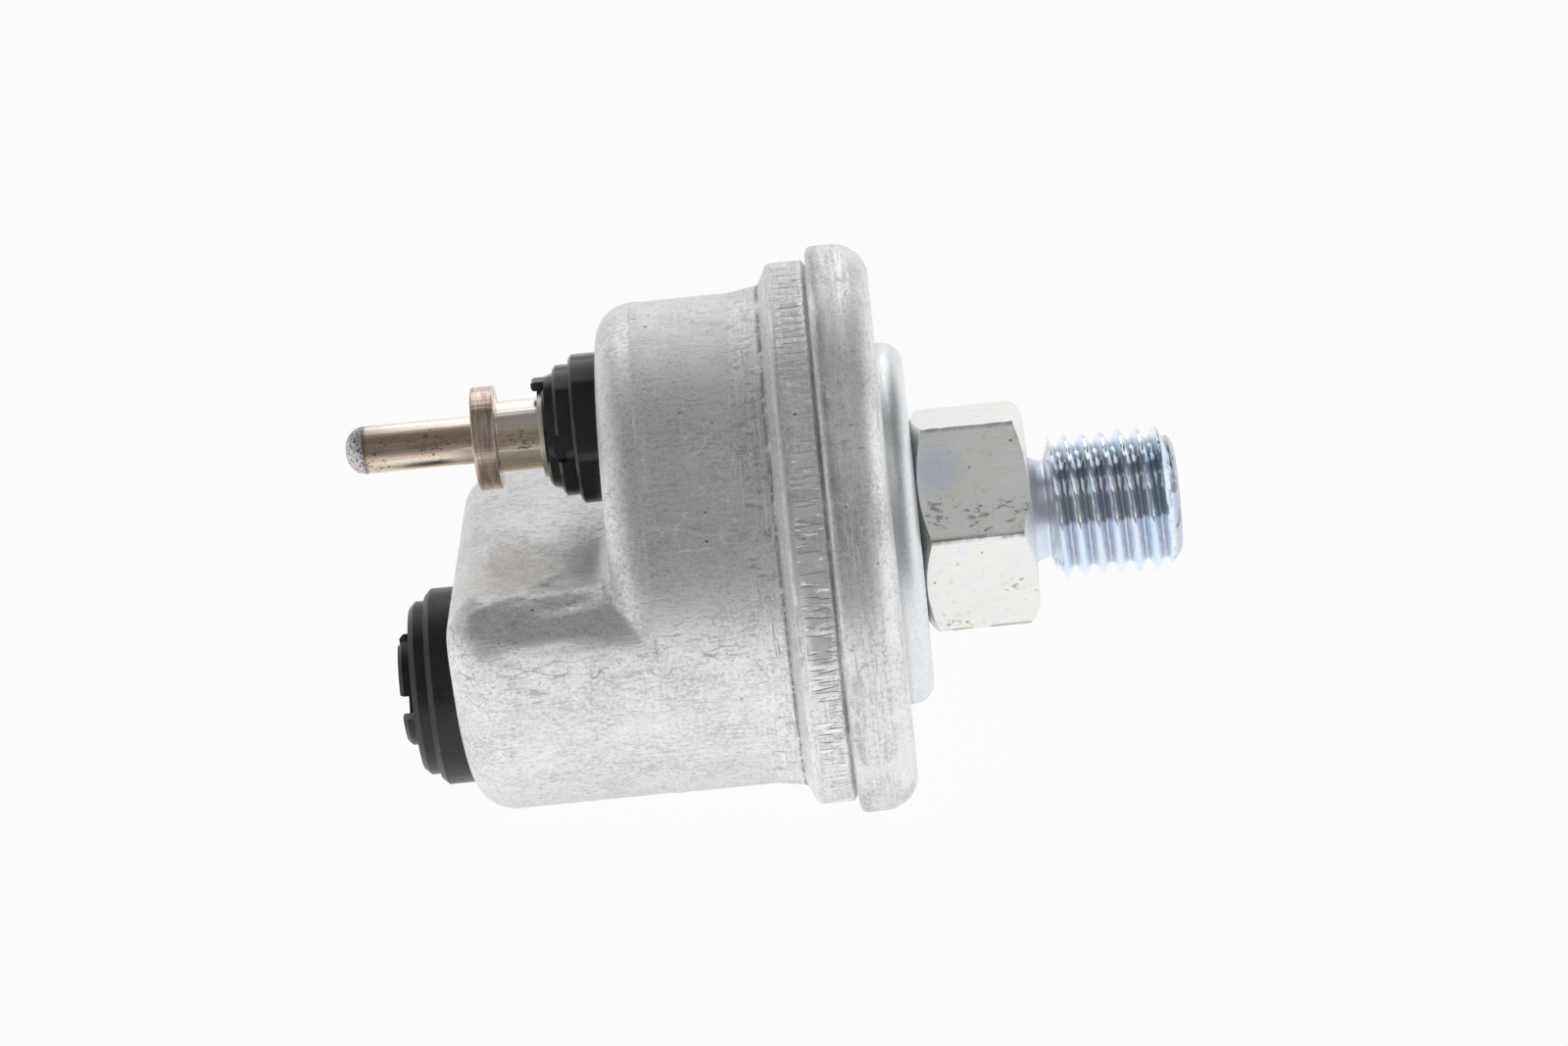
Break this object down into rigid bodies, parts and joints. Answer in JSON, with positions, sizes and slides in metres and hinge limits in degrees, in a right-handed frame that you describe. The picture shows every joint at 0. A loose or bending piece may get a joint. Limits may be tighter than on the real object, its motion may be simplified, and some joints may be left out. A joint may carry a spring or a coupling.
{
  "type": "oil pressure sender",
  "caption": "Oil pressure sender: crimped aluminium can with a stepped end, hexagon and threaded stud at one end, bullet terminal pin and a blanked terminal place at the other.",
  "frame": {"origin": "on the sender's axis at the face of the hexagon that meets the engine block or its washer", "axes": "+X along the axis towards the threaded end, +Z from the blanked terminal place towards the terminal pin, +Y completes a right-handed frame"},
  "size_m": [0.0677, 0.047, 0.047],
  "materials": {
    "can_aluminium": "drawn and crimped, dull with fine scratches",
    "plate_zinc": "blue-white zinc plate",
    "fitting_zinc": "iridescent zinc plate over turned steel",
    "pin_brass": "tarnished turned brass",
    "washer_brass": "bright thin brass",
    "insulator_black": "black moulded resin",
    "plug_black": "black moulded resin",
    "restrictor_brass": "turned",
    "gasket_rubber": "nitrile",
    "diaphragm_bronze": "rolled spring bronze",
    "inner_steel": "bright zinc",
    "inner_resin": "laminated insulating board",
    "inner_brass": "stamped",
    "contact_silver": "silver alloy",
    "winding_wire": "bare resistance wire",
    "wire_sleeve": "insulated wire"
  },
  "bodies": {
    "body": {"housing": "can_aluminium", "base_plate": "plate_zinc", "threaded_fitting": "fitting_zinc", "inlet_restrictor": "restrictor_brass", "sealing_gasket": "gasket_rubber", "diaphragm": "diaphragm_bronze", "clamp_ring": "inner_steel", "mechanism_bridge": "inner_steel", "bridge_rivets": "inner_steel", "pivot_pin": "inner_steel", "return_spring": "diaphragm_bronze", "resistance_card": "inner_resin", "resistance_winding": "winding_wire", "card_bracket": "inner_steel", "card_spacers": "inner_resin", "card_rivets": "inner_brass", "terminal_pin": "pin_brass", "terminal_washer": "washer_brass", "terminal_insulator": "insulator_black", "inner_insulator": "inner_resin", "terminal_lug": "inner_brass", "lead_wire": "wire_sleeve", "blanking_plug": "plug_black", "plug_clip": "inner_steel"},
    "ram": {"ram": "inner_steel"},
    "rocker": {"rocker": "inner_steel", "wiper_arm": "inner_brass", "wiper_contact": "contact_silver"}
  },
  "joints": [
    {"name": "ram_slide", "type": "slide", "parent": "body", "child": "ram", "axis": [-1, 0, 0], "range_m": [0, 0.0015], "stiffness_N_per_m": 200, "deforming": ["diaphragm"]},
    {"name": "rocker_turn", "type": "hinge", "parent": "body", "child": "rocker", "pos_m": [-0.02499, 0, -0.00311], "axis": [0, -1, 0], "range_deg": [0, 26.9], "deforming": ["return_spring"]}
  ],
  "couplings": [
    {"joint": "rocker_turn", "follows": "ram_slide", "rad_per_m": 312.5}
  ]
}
